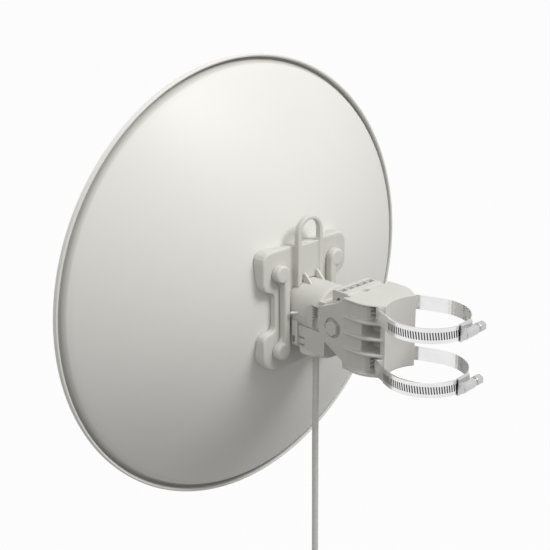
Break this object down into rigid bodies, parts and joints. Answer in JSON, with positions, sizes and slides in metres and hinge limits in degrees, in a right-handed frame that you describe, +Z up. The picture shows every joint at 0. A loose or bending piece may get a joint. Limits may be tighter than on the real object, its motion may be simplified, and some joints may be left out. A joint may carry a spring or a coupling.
{
  "type": "pole-mounted dish antenna",
  "caption": "Open parabolic dish antenna with rear radio housing, tilting pole bracket, worm-drive band clamps and a coiled network cable.",
  "frame": {"origin": "on the axis of the pole that the saddle and the clamps fit, at the height of the dish's own axis", "axes": "+Z up along the pole, the dish looks along -Y, the tilt axis is along X"},
  "size_m": [0.42, 0.32, 0.6244],
  "materials": {
    "dish_shell": "satin",
    "moulded_grey": "satin",
    "clamp_steel": "bright",
    "gland_rubber": "matte",
    "cable_sheath": "matte",
    "plug_plastic": "gloss",
    "circuit_board": "satin",
    "feed_plastic": "satin",
    "tie_nylon": "satin"
  },
  "bodies": {
    "bracket": {"pole_bracket": "moulded_grey", "pivot_bolt": "moulded_grey", "pivot_washer": "clamp_steel", "pivot_nut": "clamp_steel", "upper_clamp_band": "clamp_steel", "upper_clamp_housing": "clamp_steel", "lower_clamp_band": "clamp_steel", "lower_clamp_housing": "clamp_steel"},
    "dish": {"reflector": "dish_shell", "back_plate": "moulded_grey", "left_side_rail": "moulded_grey", "right_side_rail": "moulded_grey", "rear_housing": "moulded_grey", "cable_gland": "gland_rubber", "network_socket": "clamp_steel", "radio_board": "circuit_board", "feed_tube": "feed_plastic", "feed_cone": "feed_plastic", "sub_reflector": "clamp_steel", "plate_screw_1": "clamp_steel", "plate_screw_2": "clamp_steel", "plate_screw_3": "clamp_steel", "plate_screw_4": "clamp_steel", "socket_plug": "plug_plastic", "cable_run": "cable_sheath", "cable_coil": "cable_sheath", "cable_tail": "cable_sheath", "cable_tie": "tie_nylon", "cable_boot": "cable_sheath", "end_plug": "plug_plastic"},
    "door": {"cable_door": "moulded_grey"},
    "upper_screw": {"upper_clamp_screw": "clamp_steel"},
    "lower_screw": {"lower_clamp_screw": "clamp_steel"}
  },
  "joints": [
    {"name": "dish_tilt", "type": "hinge", "parent": "bracket", "child": "dish", "pos_m": [0, -0.0795, 0], "axis": [1, 0, 0], "range_deg": [-20, 20]},
    {"name": "door_slide", "type": "slide", "parent": "dish", "child": "door", "axis": [0, 0, -1], "range_m": [0, 0.016]},
    {"name": "upper_screw_turn", "type": "hinge", "parent": "bracket", "child": "upper_screw", "pos_m": [-0.00275, 0.0393, 0.0226], "axis": [-0.9976, -0.0698, 0], "continuous": true},
    {"name": "lower_screw_turn", "type": "hinge", "parent": "bracket", "child": "lower_screw", "pos_m": [-0.00275, 0.0393, -0.0238], "axis": [-0.9976, -0.0698, 0], "continuous": true}
  ]
}
